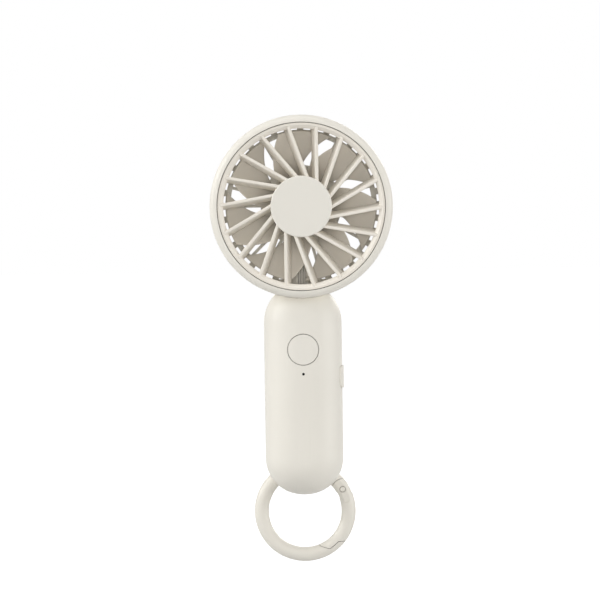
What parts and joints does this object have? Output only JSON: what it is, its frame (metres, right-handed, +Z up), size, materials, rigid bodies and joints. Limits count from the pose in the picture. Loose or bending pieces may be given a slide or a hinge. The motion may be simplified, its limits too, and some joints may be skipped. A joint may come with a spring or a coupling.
{
  "type": "handheld fan",
  "caption": "Handheld battery fan: round ducted head with swirled front grille, rounded grip with push button, and a gated ring through the grip's foot.",
  "frame": {"origin": "middle of the grip, half way through its depth, 45.5 mm above the grip's lowest point", "axes": "+Z up along the grip to the head, -Y the side that the fan blows from, +X the side with the charging socket"},
  "size_m": [0.0834, 0.038, 0.2068],
  "materials": {
    "shell": "fine satin moulding",
    "grille": "fine satin moulding",
    "cap": "smooth satin moulding",
    "impeller": "satin moulding",
    "button": "satin moulding",
    "light_window": "dark clear plastic",
    "cover": "soft matt",
    "ring": "satin moulding",
    "steel": "bright",
    "pin_paint": "satin paint over steel",
    "rotor_steel": "drawn",
    "magnet": "sintered",
    "bearing": "sintered bronze",
    "core": "stacked sheet",
    "copper": "enamelled wire",
    "motor_base": "turned",
    "board": "solder mask",
    "chip": "moulded",
    "ferrite": "sintered",
    "lamp": "clear",
    "cell": "sleeved",
    "foam": "foam",
    "nickel": "sheet",
    "wire": "insulated"
  },
  "bodies": {
    "housing": {"front_housing": "shell", "rear_housing": "shell", "front_grille": "grille", "grille_cap": "cap", "light_pipe": "light_window", "front_bearing": "bearing", "rear_bearing": "bearing", "motor_base": "motor_base", "stator_core": "core", "stator_coils": "copper", "motor_board": "board", "motor_screws": "steel", "motor_leads": "wire", "control_board": "board", "board_chips": "chip", "boost_coil": "ferrite", "board_screws": "steel", "status_led": "lamp", "tact_switch": "chip", "battery_cell": "cell", "cell_pad": "foam", "positive_tab": "nickel", "negative_tab": "nickel", "battery_leads": "wire", "usb_shell": "steel", "usb_tongue": "chip", "housing_screws": "steel"},
    "rotor": {"impeller": "impeller", "rotor_cup": "rotor_steel", "magnet_ring": "magnet", "motor_shaft": "steel", "shaft_clip": "steel"},
    "button": {"power_button": "button", "tact_plunger": "chip"},
    "cover": {"port_cover": "cover"},
    "ring": {"ring_body": "ring"},
    "gate": {"ring_gate": "ring", "gate_pin": "pin_paint", "gate_spring": "steel"}
  },
  "joints": [
    {"name": "impeller_spin", "type": "hinge", "parent": "housing", "child": "rotor", "pos_m": [0, 0, 0.0875], "axis": [0, 1, 0], "continuous": true},
    {"name": "button_press", "type": "slide", "parent": "housing", "child": "button", "axis": [0, 1, 0], "range_m": [0, 0.00045], "stiffness_N_per_m": 2000, "springref_m": -0.0005},
    {"name": "cover_hinge", "type": "hinge", "parent": "housing", "child": "cover", "pos_m": [0.0184, -0.0036, 0.01425], "axis": [0, -1, 0], "range_deg": [0, 100]},
    {"name": "ring_swing", "type": "hinge", "parent": "housing", "child": "ring", "pos_m": [0, 0.0103, -0.03405], "axis": [1, 0, 0], "range_deg": [0, 150]},
    {"name": "gate_open", "type": "hinge", "parent": "ring", "child": "gate", "pos_m": [0.01745, 0.0103, -0.04412], "axis": [0, 1, 0], "range_deg": [0, 35], "stiffness_Nm_per_rad": 0.02, "springref_deg": -17.19}
  ]
}
